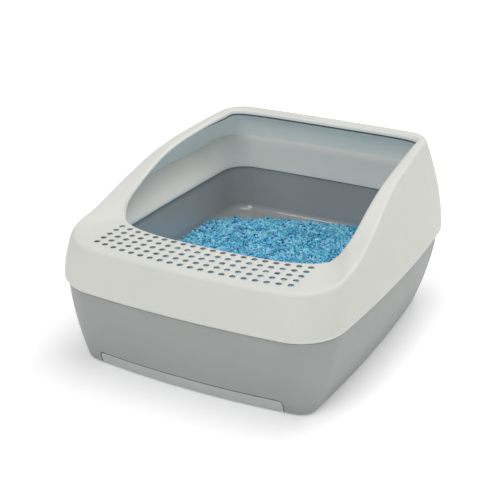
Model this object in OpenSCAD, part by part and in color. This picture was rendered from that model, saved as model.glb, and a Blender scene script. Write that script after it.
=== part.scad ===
// Drawer litter box: a tapered base with a flush waste drawer, a lift-out litter pan
// with a slotted floor, and a high-backed hood with a perforated front step.
// The front faces -Y, and the box stands on z = 0 about the middle of its length and width.

/* [Overall] */
// Full width across the bowed sides of the hood
plan_width = 472; // [420:1:520]
// Full length from the bowed front to the bowed back
plan_length = 560; // [520:1:620]
// Height of the hood's rear rim
hood_height = 287; // [275:1:310]
// Height of the seam where the hood stands on the base
seam_height = 129.5; // [118:0.5:140]
// Height of the flat, perforated front step
step_height = 201.5; // [192:0.5:210]

/* [Plan shape] */
// How far the front bulges at its middle
front_bow = 14; // [4:1:20]
// How far each side bulges at its middle
side_bow = 14; // [4:1:20]
// How fast the sides' bulge shrinks as the outline moves inward
bow_shrink = 0.1; // [0:0.02:0.3]
// How much further in each side stands at the rear than at the middle
side_taper = 1.5; // [0:0.5:8]
// How far the back bulges at its middle
back_bow = 5; // [1:1:10]
// Corner radius of the widest outline, front
front_corner = 64; // [56:1:80]
// Corner radius of the widest outline, rear
rear_corner = 74; // [66:1:90]
// How fast the front corners' radius shrinks as the outline moves inward
front_shrink = 1.3; // [0.6:0.05:1.4]
// How fast the rear corners' radius shrinks as the outline moves inward
rear_shrink = 1.05; // [0.6:0.05:1.3]

/* [Hood] */
// Wall thickness of the hood
hood_wall = 3; // [2:0.5:4]
// How far the hood's walls lean in at the rear rim
hood_lean = 36; // [30:0.5:44]
// Curve of the lean: 1 is straight, more starts it later
lean_curve = 1.75; // [1.2:0.05:2.2]
// Lean of the hood's back as a share of its sides' lean
rear_lean_share = 0.85; // [0.6:0.01:1]
// How far the skirt's lower edge turns in
skirt_turn = 6.5; // [3:0.5:7]
// Height of the turned-in edge of the skirt
skirt_turn_height = 8; // [5:1:14]
// How fast the front corners' radius grows up the leaning walls
corner_growth = 0.3; // [0:0.05:0.6]
// Rounding between the walls and the top, at the front step
step_round = 14; // [8:1:18]
// Rounding between the walls and the top, at the rear rim
rim_round = 6; // [4:0.5:7]
// Width of the roll that leads from the top into the opening
roll_width = 8; // [5:0.5:9]
// Depth of that roll
roll_depth = 4.5; // [3:0.5:6]
// Depth of the lip turned down round the opening
lip_drop = 8; // [7:0.5:12]

/* [Hood opening] */
// Half width of the opening at its widest
opening_half = 186; // [170:1:188]
// Half width of the opening at its rear
opening_half_rear = 174; // [160:1:176]
// Where the front curve of the opening begins, from the front of the box
opening_front_start = 205; // [190:1:220]
// Length of the opening's front curve
opening_front_depth = 98; // [80:1:100]
// Where the rear curve of the opening begins, from the back of the box
opening_rear_start = 90; // [84:1:110]
// Length of the opening's rear curve
opening_rear_depth = 39; // [30:1:41]

/* [Paw grate] */
// Diameter of each hole
grate_hole = 9; // [6:0.5:11]
// Distance between neighbouring holes
grate_pitch = 16.5; // [15:0.5:17]
// Holes in a row
grate_columns = 20; // [12:2:20]
// Rows of holes
grate_rows = 5; // [3:1:5]
// Where the middle of the front row lies, from the front of the box
grate_start = 31; // [28:0.5:34]
// How far each row's ends sweep back at a station 160 mm out
grate_sweep = 15.5; // [10:0.5:18]

/* [Splash guard] */
// Thickness of the guard
guard_wall = 2.5; // [2:0.5:3]
// Height of the guard's top edge along the sides
guard_top = 218.5; // [205:0.5:222]
// How much higher the guard stands along the back
guard_rise = 10; // [0:1:14]
// How far the guard's foot hangs into the pan
guard_dip = 3; // [1:0.5:6]
// Where the guard's arms end, from the front of the box
guard_start = 120; // [110:1:140]

/* [Base] */
// Wall thickness of the base
base_wall = 3; // [2.5:0.5:4]
// Inset of the base's wall at the seam
base_inset_seam = 6.5; // [5:0.5:8]
// How much further in the base's wall stands at the floor
base_taper = 28; // [22:0.5:36]
// Curve of the base's wall: 1 is straight, more bends it near the floor
taper_curve = 1.55; // [1.1:0.05:2]
// Height of the rim that carries the pan
rim_height = 170; // [160:1:174]
// Thickness of that rim
rim_wall = 2.5; // [2:0.5:3]
// Height of the feet
foot_height = 1.5; // [1.5:0.5:4]
// Radius of each foot
foot_radius = 11; // [8:1:16]

/* [Litter pan] */
// Wall thickness of the pan
pan_wall = 3; // [2:0.5:3.5]
// Height of the pan's floor
pan_floor = 88; // [80:1:96]
// Inset of the pan's mouth at the sides
pan_inset_side = 31.5; // [28:0.5:38]
// How far the pan's sides bulge at their middle
pan_bow = 4; // [0:1:8]
// Inset of the pan's mouth at the front
pan_inset_front = 24; // [20:0.5:30]
// Inset of the pan's mouth at the back
pan_inset_back = 19; // [18:0.5:26]
// Corner radius of the pan's mouth
pan_corner = 42; // [36:1:50]
// How far the pan's walls lean in for each millimetre down
pan_draft = 0.19; // [0.12:0.01:0.24]
// Radius between the pan's walls and floor
pan_fillet = 18; // [10:1:22]
// Height of the lip turned down round the pan's flange
pan_lip = 8; // [5:1:12]
// Depth of the litter at the middle of the pan
litter_depth = 13; // [8:1:24]

/* [Sieve] */
// Length of the slotted plate in the pan's floor
sieve_length = 396; // [340:2:400]
// Width of the slotted plate
sieve_width = 268; // [220:2:270]
// Thickness of the slotted plate
sieve_thick = 2; // [1.5:0.5:2]
// Width of each slot
slot_width = 2.2; // [1.5:0.1:3]
// Distance between neighbouring slots
slot_pitch = 11; // [9:1:14]
// Slots side by side in each row
slot_columns = 5; // [4:1:6]
// Width of the ledge that carries the plate
sieve_ledge = 5; // [4:0.5:7]

/* [Drawer] */
// Width of the drawer's front
drawer_width = 305.5; // [280:0.5:310]
// Height of the top edge of the drawer's front
drawer_height = 22.7; // [20:0.1:26]
// Corner radius of the drawer's front
drawer_corner = 6; // [4:1:9]
// Gap round the drawer's front
drawer_gap = 1; // [0.6:0.1:1.5]
// Thickness of the drawer's front
drawer_front_wall = 3; // [2:0.5:4]
// Wall and floor thickness of the tray
tray_wall = 2; // [1.5:0.5:2.5]
// Space between the tray and the back wall of the base
tray_room = 30; // [20:1:60]
// Thickness of the absorbent pad
pad_thick = 7; // [4:1:9]
// Width of the guide ribs that carry the tray
guide_wall = 3; // [2:0.5:4]

/* [Clearances] */
// Gap under a piece that rests or slides on another
seat_gap = 0.3; // [0.2:0.05:0.5]
// Gap beside a piece that lifts out
lift_gap = 1.5; // [1:0.1:2]

/* [Hidden] */

base_grey = [0.60, 0.60, 0.60];
pan_grey = [0.42, 0.45, 0.46];
shell_white = [0.87, 0.87, 0.84];
guard_white = [0.74, 0.76, 0.76];
rubber_grey = [0.25, 0.25, 0.26];
pad_white = [0.93, 0.93, 0.90];
litter_blue = [0.45, 0.68, 0.78];

half_width = plan_width / 2 - side_bow - side_taper * side_taper / (4 * side_bow);
front_end = -plan_length / 2;
front_y = plan_length / 2 - front_bow;
back_y = plan_length / 2 - back_bow;
opening_front_station = front_end + opening_front_start;
opening_rear_station = plan_length / 2 - opening_rear_start;
hole_facets = 24;

// Rise of the hood's top above the step along the outer crease and along the opening,
// as pairs of a distance from the front of the box and a share of the whole rise.
sweep_rise = hood_height - step_height;
crease_sweep = [[20, 0], [60, 0.02], [94, 0.085], [130, 0.14], [155, 0.225],
                [210, 0.45], [290, 0.75], [350, 0.865], [525, 1]];
edge_sweep = [[138, 0], [173, 0.23], [210, 0.425], [240, 0.575], [290, 0.76], [350, 0.87], [525, 1]];

// ---- Columns shared by every loft -------------------------------------------------
// A column is [corner, angle along that corner's arc, fraction of the straight after it].
// Corners run front right, rear right, rear left, front left.
arc_steps = 7;
straight_steps = [20, 8, 20, 8];
side_crowding = 1.35;

function straight_fraction(c, t) =
    c == 0 ? pow(t, side_crowding) : c == 2 ? 1 - pow(1 - t, side_crowding) : t;

COLUMNS = [for (c = [0:3]) each concat(
    [for (j = [0:arc_steps]) [c, 90 * j / arc_steps, 0]],
    [for (j = [1:straight_steps[c] - 1])
        [c, 90, straight_fraction(c, j / straight_steps[c])]])];

function lerp(a, b, t) = a + (b - a) * t;
function is_rear(c) = c == 1 || c == 2;
function is_right(c) = c == 0 || c == 1;

// A rounded outline: half width, front and back reach, front and rear corner radius,
// bulge of the sides and their taper to the rear.
function arc_point(c, angle, o) =
    let (r = is_rear(c) ? o[4] : o[3])
    [(is_right(c) ? 1 : -1) * (o[0] - r), is_rear(c) ? o[2] - r : r - o[1]]
    + r * [cos(90 * (c - 1) + angle), sin(90 * (c - 1) + angle)];

function bowed(p, o) =
    let (u = p.x / o[0], v = (2 * p.y + o[1] - o[2]) / (o[1] + o[2]))
    [p.x + (o[5] * (1 - v * v) - o[6] * v) * u,
     p.y + (v < 0 ? front_bow : back_bow) * (1 - u * u) * v];

function outline_point(col, o) =
    let (c = col[0], p = arc_point(c, col[1], o))
    bowed(col[2] == 0 ? p : lerp(p, arc_point((c + 1) % 4, 0, o), col[2]), o);

function at(p, z) = [p.x, p.y, z];
function xy(p) = [p.x, p.y];

// The widest outline moved inward all round, and by its own amount at the back.
function inset_outline(i, rear) =
    [half_width - i, front_y - i, back_y - rear,
     front_corner - front_shrink * i, rear_corner - rear_shrink * i,
     side_bow - bow_shrink * i, side_taper];
function inset_point(col, i) = outline_point(col, inset_outline(i, i));

// ---- Surfaces ----------------------------------------------------------------------
// One section of points for each column. closed: the section runs back to its start,
// as on a ring. Otherwise both ends are closed with a flat cap, as on a tub.
module loft(sections, closed) {
    n = len(sections);
    m = len(sections[0]);
    rows = closed ? m : m - 1;
    function id(k, j) = (k % n) * m + j % m;
    sides = [for (k = [0:n - 1], j = [0:rows - 1]) each
        [[id(k, j), id(k, j + 1), id(k + 1, j + 1)], [id(k, j), id(k + 1, j + 1), id(k + 1, j)]]];
    caps = closed ? [] : [[for (k = [0:n - 1]) id(k, 0)], [for (k = [n - 1:-1:0]) id(k, m - 1)]];
    polyhedron([for (s = sections) each s], concat(sides, caps));
}

// A bar swept through its sections from one flat end to the other.
module swept_bar(sections) {
    n = len(sections);
    m = len(sections[0]);
    function id(k, j) = k * m + j % m;
    sides = [for (k = [0:n - 2], j = [0:m - 1]) each
        [[id(k, j), id(k, j + 1), id(k + 1, j + 1)], [id(k, j), id(k + 1, j + 1), id(k + 1, j)]]];
    strips = [for (j = [0:floor((m - 3) / 2)]) each concat(
        j + 1 < m - 2 - j ? [[j, j + 1, m - 2 - j]] : [], [[j, m - 2 - j, m - 1 - j]])];
    caps = [for (t = strips) each
        [[id(0, t[2]), id(0, t[1]), id(0, t[0])], [id(n - 1, t[0]), id(n - 1, t[1]), id(n - 1, t[2])]]];
    polyhedron([for (s = sections) each s], concat(sides, caps));
}

// ---- Hood surfaces -------------------------------------------------------------------
skirt_top = seam_height + skirt_turn_height;
skirt_foot = 2;
skirt_rows = [0, 0.35, 0.7];
skirt_curve = 1.4;
wall_levels = 6;

function hood_inset(z) =
    z < skirt_top
        ? skirt_turn * pow((skirt_top - z) / skirt_turn_height, skirt_curve)
        : hood_lean * pow((z - skirt_top) / (hood_height - skirt_top), lean_curve);

// Smooth rising curve through the sweep's points, with no overshoot.
function sweep_slope(k, i) =
    i == 0 || i == len(k) - 1 ? 0 :
    let (a = (k[i][1] - k[i - 1][1]) / (k[i][0] - k[i - 1][0]),
         b = (k[i + 1][1] - k[i][1]) / (k[i + 1][0] - k[i][0]))
    2 * a * b / (a + b);

function sweep_between(k, i, d) =
    let (h = k[i + 1][0] - k[i][0], t = (d - k[i][0]) / h, s = 1 - t)
    (1 + 2 * t) * s * s * k[i][1] + t * s * s * h * sweep_slope(k, i)
    + t * t * (3 - 2 * t) * k[i + 1][1] - t * t * s * h * sweep_slope(k, i + 1);

// Height of the top at a station along one of the two sweeps, k.
function swept_z(k, y) =
    let (d = y - front_end)
    d <= k[0][0] ? step_height :
    d >= k[len(k) - 1][0] ? hood_height :
    step_height + sweep_rise
        * [for (i = [0:len(k) - 2]) if (d >= k[i][0] && d < k[i + 1][0]) sweep_between(k, i, d)][0];
function top_z(y) = swept_z(crease_sweep, y);

// Outline of the hood's wall at a height, set in by wall.
function hood_outline(z, wall) =
    let (i = hood_inset(z))
    z < skirt_top ? inset_outline(i + wall, i + wall) :
    let (o = inset_outline(i + wall, rear_lean_share * i + wall))
    [o[0], o[1], o[2], front_corner + corner_growth * i - front_shrink * wall, o[4], o[5], o[6]];
function hood_point(col, z, wall) = outline_point(col, hood_outline(z, wall));

// Height at which a column of the wall, set in by wall, meets the top, set down by wall.
function crease_z(col, wall, low, high, tries = 22) =
    let (z = (low + high) / 2)
    tries == 0 ? z :
    top_z(hood_point(col, z, wall).y) - wall > z
        ? crease_z(col, wall, z, high, tries - 1)
        : crease_z(col, wall, low, z, tries - 1);

// Plan of the opening: two superelliptic ends joined by sides that taper to the rear.
opening_front_power = 3.1;
opening_rear_power = 5.5;
taper_power = 1.8;
rim_outline = hood_outline(hood_height, 0);
step_outline = hood_outline(step_height, 0);

// p on the outer crease, carried to an end of the opening. reach is the crease's own half
// width and depth there, and half and depth are the opening's.
function end_point(p, station, reach, half, depth, power) =
    let (u = p.x / reach.x, v = (p.y - station) / reach.y,
         s = pow(pow(abs(u), power) + pow(abs(v), power), -1 / power))
    [u * s * half, station + v * s * depth];

function opening_point(p) =
    p.y < opening_front_station
        ? end_point(p, opening_front_station,
            [step_outline[0], opening_front_station + step_outline[1] + front_bow],
            opening_half, opening_front_depth, opening_front_power) :
    p.y > opening_rear_station
        ? end_point(p, opening_rear_station,
            [rim_outline[0], rim_outline[2] + back_bow - opening_rear_station],
            opening_half_rear, opening_rear_depth, opening_rear_power) :
    [sign(p.x) * lerp(opening_half, opening_half_rear,
        pow((p.y - opening_front_station) / (opening_rear_station - opening_front_station),
            taper_power)), p.y];

function bend(a, b, c, t) = (1 - t) * (1 - t) * a + 2 * t * (1 - t) * b + t * t * c;

// A point of the top, which is ruled between its rails, the crease and the opening's edge:
// in by a distance from the crease and down by drop.
function on_top(crease, edge, in, drop) =
    let (t = in / norm(xy(crease) - xy(edge))) lerp(crease, edge, t) - [0, 0, drop];

// Rounding between the wall and the top where the crease stands at a height.
function crease_round(z) = lerp(step_round, rim_round, sqrt(max(0, z - step_height) / sweep_rise));

// One section of the hood: up the outside, over the top, down the roll and the lip round
// the opening, back along the underside and down the inside.
function hood_section(col) =
    let (zc = crease_z(col, 0, seam_height, hood_height),
         crease = at(hood_point(col, zc, 0), zc),
         end = opening_point(xy(crease)),
         edge = at(end, swept_z(edge_sweep, end.y)),
         width = norm(xy(crease) - end),
         r = min(crease_round(zc), width - roll_width),
         zr = zc - r,
         zi = crease_z(col, hood_wall, seam_height, hood_height),
         zb = seam_height + seat_gap)
    concat(
        [for (t = skirt_rows) let (z = zb + t * skirt_turn_height) at(hood_point(col, z, 0), z)],
        [for (j = [0:wall_levels]) let (z = lerp(skirt_top, zr, j / wall_levels))
            at(hood_point(col, z, 0), z)],
        [for (t = [0.25, 0.5, 0.75, 1])
            bend(at(hood_point(col, zr, 0), zr), crease, on_top(crease, edge, r, 0), t)],
        [for (a = [0, 35, 65, 90]) on_top(crease, edge,
            width - roll_width * (1 - sin(a)), roll_depth * (1 - cos(a)))],
        [for (k = [[0, lip_drop], [hood_wall, lip_drop], [hood_wall, roll_depth + hood_wall / 2],
                   [roll_width, hood_wall]]) on_top(crease, edge, width - k[0], k[1])],
        [for (t = [0.25, 0.5, 0.75])
            bend(on_top(crease, edge, r, hood_wall), at(hood_point(col, zi, hood_wall), zi),
                 at(hood_point(col, zr, hood_wall), zr), t)],
        [for (j = [0:wall_levels]) let (z = lerp(zr, skirt_top, j / wall_levels))
            at(hood_point(col, z, hood_wall), z)],
        [at(inset_point(col, skirt_turn + skirt_foot), zb)]);

// ---- Base surfaces ---------------------------------------------------------------------
// The base's rim carries the pan's flange, whose lip hangs outside the rim and inside the hood.
pan_flange = rim_height + seat_gap;
pan_top = pan_flange + pan_wall;
pan_hang = max(hood_inset(pan_top) + hood_wall, skirt_turn + skirt_foot) + lift_gap;
pan_lip_wall = 2;
lip_gap = 0.6;

base_round = 4;
floor_top = foot_height + base_wall;
rim_outside = pan_hang + pan_lip_wall + lip_gap;
rim_inside = rim_outside + rim_wall;

function base_inset(z) =
    base_inset_seam + base_taper * pow(max(0, 1 - z / seam_height), taper_curve);

function base_point(col, z, wall) = at(inset_point(col, base_inset(z) + wall), z);

// Height below which the base's inner wall follows the outer one.
function wall_meets_rim(low, high, tries = 22) =
    let (z = (low + high) / 2)
    tries == 0 ? z :
    base_inset(z) + base_wall > rim_inside ? wall_meets_rim(z, high, tries - 1)
                                           : wall_meets_rim(low, z, tries - 1);
meet_z = wall_meets_rim(0, seam_height);

// Heights of the rows of points on the base's walls.
low_levels = [16, 32];
middle_levels = [50, 72];
upper_levels = [95, 114];
skin_levels = concat([foot_height + base_round], low_levels);

// The rounded edge between the base's underside and its walls.
round_in = 0.3 * base_round;
function base_foot_points(col) =
    [at(inset_point(col, base_inset(foot_height) + base_round), foot_height),
     at(inset_point(col, base_inset(foot_height) + round_in), foot_height + round_in)];

function base_section(col) = concat(
    base_foot_points(col),
    [for (z = concat(skin_levels, middle_levels, upper_levels, [seam_height])) base_point(col, z, 0)],
    [at(inset_point(col, rim_outside), seam_height),
     at(inset_point(col, rim_outside), rim_height),
     at(inset_point(col, rim_inside), rim_height),
     at(inset_point(col, rim_inside), meet_z)],
    [for (z = [middle_levels[1], middle_levels[0], low_levels[1], low_levels[0]])
        base_point(col, z, base_wall)],
    [base_point(col, floor_top + base_round, base_wall),
     at(inset_point(col, base_inset(floor_top) + base_wall + base_round), floor_top)]);

// The front band of the base's wall, from which the drawer's front is cut.
front_columns = [for (c = COLUMNS) if (c[0] == 3 && c[1] == 90) c, COLUMNS[0]];
function front_band_section(col) = concat(
    base_foot_points(col),
    [for (z = skin_levels) base_point(col, z, 0)],
    [for (z = [low_levels[1], low_levels[0], foot_height + base_round])
        base_point(col, z, drawer_front_wall)],
    [at(inset_point(col, base_inset(foot_height) + drawer_front_wall + round_in), foot_height)]);

// Outline of the drawer's front, seen from the front, grown by a gap.
module drawer_outline(gap, bottom) {
    w = drawer_width / 2 + gap;
    top = drawer_height + gap;
    r = drawer_corner + gap;
    translate([-w, bottom]) square([2 * w, top - r - bottom]);
    translate([-w + r, bottom]) square([2 * (w - r), top - bottom]);
    for (side = [-1, 1]) translate([side * (w - r), top - r]) circle(r, $fn = 48);
}

// Pushes an outline seen from the front through the front wall, from a depth behind it.
module through_front(depth) {
    translate([0, front_end + depth, 0])
        rotate([90, 0, 0]) linear_extrude(plan_length / 2) children();
}
through_wall = 60;

// Where the base's front wall stands at a station across it, at the floor.
function front_wall_y(x, inset) =
    let (i = base_inset(foot_height) + inset)
    -(front_y - i) - front_bow * (1 - pow(x / (half_width - i), 2));

// ---- Drawer ------------------------------------------------------------------------------
tray_side_gap = 7;
tray_half = drawer_width / 2 - tray_side_gap;
tray_floor = floor_top + seat_gap;
tray_top = drawer_height - lift_gap;
tray_front_inset = drawer_front_wall + base_round + seat_gap;
tray_back = back_y - base_inset(floor_top) - base_wall - tray_room;
tray_corner = 12;
tray_flange = 4;
guide_top = tray_top - tray_wall - seat_gap;

// Plan of the tray: a bowed front and a rear with rounded corners, moved inward by gap.
function tray_plan(gap) =
    let (w = tray_half - gap, r = tray_corner - gap, back = tray_back - gap)
    concat(
        [for (j = [0:12]) let (x = lerp(-w, w, j / 12)) [x, front_wall_y(x, tray_front_inset + gap)]],
        [for (j = [0:6]) [w - r + r * cos(15 * j), back - r + r * sin(15 * j)]],
        [for (j = [0:6]) [-w + r - r * sin(15 * j), back - r + r * cos(15 * j)]]);

// ---- Litter pan ----------------------------------------------------------------------------
pan_edge = 1.5;
pan_under = pan_floor - 2 * sieve_thick;
front_corner_more = 8;
corner_shrink = 0.5;

// Outline of the pan's inner wall at a height, set out by wall.
function pan_outline(z, wall) =
    let (i = pan_draft * (pan_top - z) - wall)
    [half_width - pan_inset_side - i, front_y - pan_inset_front - i,
     back_y - pan_inset_back - i, pan_corner + front_corner_more - corner_shrink * i,
     pan_corner - corner_shrink * i, pan_bow, 0];
function pan_point(col, z, wall) = at(outline_point(col, pan_outline(z, wall)), z);

// Round the bottom edge of the pan: 0 degrees is the wall and 90 degrees is the floor.
function fillet_point(col, angle, r, bottom, wall) =
    let (z = bottom + r * (1 - sin(angle)))
    at(outline_point(col, pan_outline(bottom + r, wall - r * (1 - cos(angle)))), z);

function pan_section(col) = concat(
    [for (a = [90, 60, 30, 0]) fillet_point(col, a, pan_fillet + pan_wall, pan_under, pan_wall)],
    [pan_point(col, pan_flange, pan_wall),
     at(inset_point(col, pan_hang + pan_lip_wall), pan_flange),
     at(inset_point(col, pan_hang + pan_lip_wall), pan_top - pan_lip),
     at(inset_point(col, pan_hang), pan_top - pan_lip),
     at(inset_point(col, pan_hang), pan_top - pan_edge),
     at(inset_point(col, pan_hang + pan_edge), pan_top),
     pan_point(col, pan_top, pan_edge),
     pan_point(col, pan_top - pan_edge, 0)],
    [for (a = [0, 22.5, 45, 67.5, 90]) fillet_point(col, a, pan_fillet, pan_floor, 0)]);

// The sieve plate lies over the tray.
sieve_middle = -6;
chute_wall = 2;
chute_bottom = drawer_height + 4;  // clear of the tray

module sieve_rectangle(gap) {
    translate([0, sieve_middle]) square([sieve_width - 2 * gap, sieve_length - 2 * gap], center = true);
}

// ---- Splash guard ----------------------------------------------------------------------------
guard_bottom = pan_top - guard_dip;
guard_rise_start = 185;
guard_rise_length = 60;

// The foot hangs clear of the pan's wall, from a knee above the pan's mouth.
// wall is the distance out from the inner face.
guard_knee = pan_top + lift_gap;
function guard_foot(col, wall, z = guard_bottom) =
    at(outline_point(col, pan_outline(guard_bottom, wall - guard_wall - lift_gap)), z);

function smooth(t) = let (u = min(1, max(0, t))) u * u * (3 - 2 * u);

// The top edge rises along the back, and stays below the rounding under the front step.
function guard_reach(y) =
    min(guard_top + guard_rise * smooth((y - guard_rise_start) / guard_rise_length),
        top_z(y) - crease_round(top_z(y)) - seat_gap);

guard_columns = [for (c = COLUMNS) if (guard_foot(c, 0).y > front_end + guard_start) c];

function guard_section(col) =
    let (z = guard_reach(hood_point(col, step_height, hood_wall).y),
         head = at(hood_point(col, z, hood_wall + seat_gap + guard_wall), z),
         skin = at(hood_point(col, z, hood_wall + seat_gap), z))
    [guard_foot(col, guard_wall), guard_foot(col, guard_wall, guard_knee), skin,
     head, guard_foot(col, 0, guard_knee), guard_foot(col, 0)];

// ---- Litter ---------------------------------------------------------------------------------
// The bed is level, but thins out towards the rear left corner.
litter_thin = 4;
function litter_z(x, y) =
    pan_floor + lerp(litter_depth, litter_thin, smooth((y - 90 - 0.55 * (x + 180)) / 110));

litter_middle = [0, (back_y - front_y) / 2];
litter_gap = 2 * seat_gap;

// The bed follows the rounded edge of the pan's floor up to its own surface.
function litter_section(col) =
    let (near = fillet_point(col, 30, pan_fillet, pan_floor, -litter_gap),
         angle = asin(1 - (litter_z(near.x, near.y) - pan_floor) / pan_fillet),
         rim = xy(fillet_point(col, angle, pan_fillet, pan_floor, -litter_gap)),
         foot = xy(fillet_point(col, 85, pan_fillet, pan_floor, -litter_gap)))
    [at(foot, pan_floor + seat_gap),
     for (t = [0, 0.3, 0.6]) let (p = lerp(rim, litter_middle, t)) at(p, litter_z(p.x, p.y))];

// ==== Pieces ===================================================================================
module base_shell() {
    color(base_grey) {
        difference() {
            loft([for (col = COLUMNS) base_section(col)], closed = false);
            through_front(through_wall) drawer_outline(drawer_gap, -1);
        }
        drawer_guides();
    }
}

module drawer_guides() {
    front = front_wall_y(tray_half, base_wall + base_round) + guide_start;
    for (side = [-1, 1])
        translate([side * (tray_half + seat_gap + guide_wall / 2), (front + tray_back) / 2,
                   (floor_top - base_wall / 2 + guide_top) / 2])
            cube([guide_wall, tray_back - front, guide_top - floor_top + base_wall / 2], center = true);
}

guide_start = 6;
foot_inset = 45;
foot_x = half_width - base_inset(0) - foot_inset;
foot_front = -(front_y - base_inset(0) - foot_inset);
foot_back = back_y - base_inset(0) - foot_inset;

module base_feet() {
    color(rubber_grey)
        for (x = [-foot_x, foot_x], y = [foot_front, foot_back])
            translate([x, y, 0]) cylinder(r = foot_radius, h = foot_height, $fn = 48);
}

module drawer_tray() {
    color(base_grey) {
        difference() {
            translate([0, 0, tray_floor]) linear_extrude(tray_top - tray_floor) polygon(tray_plan(0));
            translate([0, 0, tray_floor + tray_wall])
                linear_extrude(drawer_height) polygon(tray_plan(tray_wall));
        }
        for (side = [-1, 1])
            translate([side * (tray_half + tray_flange / 2), tray_middle, tray_top - tray_wall / 2])
                cube([tray_flange, tray_back - tray_corner - tray_shoulder, tray_wall], center = true);
    }
}
tray_shoulder = front_wall_y(tray_half + tray_flange, tray_front_inset) + tray_flange;
tray_middle = (tray_back - tray_corner + tray_shoulder) / 2;

module drawer_front() {
    color(base_grey) intersection() {
        swept_bar([for (col = front_columns) front_band_section(col)]);
        through_front(2 * through_wall) drawer_outline(0, foot_height);
    }
}

module drawer_pad() {
    color(pad_white)
        translate([0, 0, tray_floor + tray_wall + seat_gap])
            linear_extrude(pad_thick) polygon(tray_plan(tray_wall + lift_gap));
}

module litter_pan() {
    color(pan_grey) difference() {
        union() {
            loft([for (col = COLUMNS) pan_section(col)], closed = false);
            translate([0, 0, chute_bottom]) linear_extrude(pan_under - chute_bottom + 1)
                difference() {
                    sieve_rectangle(0);
                    sieve_rectangle(chute_wall);
                }
        }
        translate([0, 0, pan_floor - sieve_thick]) linear_extrude(pan_floor) sieve_rectangle(0);
        translate([0, 0, pan_under - 1]) linear_extrude(pan_floor) sieve_rectangle(sieve_ledge);
    }
}

module sieve_plate() {
    gap = 0.5;
    bar = 8;
    usable = sieve_width - 2 * sieve_ledge;
    slot_length = usable / slot_columns - bar;
    rows = floor((sieve_length - 4 * sieve_ledge) / slot_pitch);
    color(pan_grey)
        translate([0, sieve_middle, pan_floor - sieve_thick])
            linear_extrude(sieve_thick) difference() {
                square([sieve_width - 2 * gap, sieve_length - 2 * gap], center = true);
                for (i = [0:slot_columns - 1], j = [0:rows - 1])
                    translate([(i - (slot_columns - 1) / 2) * usable / slot_columns,
                               (j - (rows - 1) / 2) * slot_pitch])
                        square([slot_length, slot_width], center = true);
            }
}

module litter_bed() {
    color(litter_blue) loft([for (col = COLUMNS) litter_section(col)], closed = false);
}

module hood() {
    color(shell_white) difference() {
        loft([for (col = COLUMNS) hood_section(col)], closed = true);
        grate_holes();
    }
}

// Rows of round holes whose ends sweep back, as the front edge of the step does.
module grate_holes() {
    for (i = [0:grate_columns - 1], j = [0:grate_rows - 1])
        let (x = (i - (grate_columns - 1) / 2) * grate_pitch,
             y = front_end + grate_start + j * grate_pitch
                 + grate_sweep * pow(abs(x) / sweep_at, sweep_power))
            translate([x, y, step_height - hood_wall - lift_gap])
                cylinder(d = grate_hole, h = 3 * hood_wall, $fn = hole_facets);
}
sweep_at = 160;
sweep_power = 2.8;

module splash_guard() {
    color(guard_white) swept_bar([for (col = guard_columns) guard_section(col)]);
}

base_shell();
base_feet();
drawer_tray();
drawer_front();
drawer_pad();
litter_pan();
sieve_plate();
litter_bed();
hood();
splash_guard();
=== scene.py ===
"""Drawer litter box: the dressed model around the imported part. Shapes are in millimetres and
become metres in each mesh. Lights, camera and materials are in metres."""
import math
import random
from collections import namedtuple

import bmesh
import bpy
import numpy as np
from mathutils import Matrix, Vector
from mathutils.bvhtree import BVHTree


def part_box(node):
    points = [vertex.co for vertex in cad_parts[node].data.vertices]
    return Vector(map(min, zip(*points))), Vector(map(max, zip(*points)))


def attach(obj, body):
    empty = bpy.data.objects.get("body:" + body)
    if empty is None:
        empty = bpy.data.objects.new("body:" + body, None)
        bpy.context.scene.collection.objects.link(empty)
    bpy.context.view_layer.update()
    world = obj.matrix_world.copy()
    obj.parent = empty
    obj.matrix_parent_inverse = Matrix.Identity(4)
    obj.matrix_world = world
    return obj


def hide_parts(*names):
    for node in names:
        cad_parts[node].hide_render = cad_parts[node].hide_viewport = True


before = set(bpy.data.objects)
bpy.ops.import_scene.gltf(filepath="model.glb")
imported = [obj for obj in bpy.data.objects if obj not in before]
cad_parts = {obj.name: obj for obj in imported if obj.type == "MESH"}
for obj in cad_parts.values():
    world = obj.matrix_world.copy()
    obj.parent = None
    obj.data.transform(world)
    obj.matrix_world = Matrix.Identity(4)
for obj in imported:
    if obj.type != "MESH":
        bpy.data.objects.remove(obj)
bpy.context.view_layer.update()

# ---- Sizes of the part, as in its CAD source -------------------------------------------------
# Plan
WIDTH, LENGTH = 472.0, 560.0
SIDE_BOW, FRONT_BOW, BACK_BOW, BOW_SHRINK, SIDE_TAPER = 14.0, 14.0, 5.0, 0.1, 1.5
FRONT_R, REAR_R, FRONT_SHRINK, REAR_SHRINK, CORNER_GROWTH = 64.0, 74.0, 1.3, 1.05, 0.3
# The plan before its sides and ends bow: half width, and the stations of its ends
HALF = WIDTH / 2 - SIDE_BOW - SIDE_TAPER ** 2 / (4 * SIDE_BOW)
FRONT_END, FRONT, BACK = -LENGTH / 2, LENGTH / 2 - FRONT_BOW, LENGTH / 2 - BACK_BOW
# Heights of the hood's rear rim, of its seam with the base and of its front step
HOOD_H, SEAM, STEP = 287.0, 129.5, 201.5
# Clearances
SEAT, LIFT, LIP_GAP = 0.3, 1.5, 0.6
# Hood
HOOD_WALL, LEAN, LEAN_CURVE, REAR_SHARE = 3.0, 36.0, 1.75, 0.85
SKIRT_TURN, SKIRT_TURN_H, SKIRT_CURVE, SKIRT_FOOT = 6.5, 8.0, 1.4, 2.0
STEP_ROUND, RIM_ROUND, ROLL_W, ROLL_D, LIP_DROP = 14.0, 6.0, 8.0, 4.5, 8.0
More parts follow.
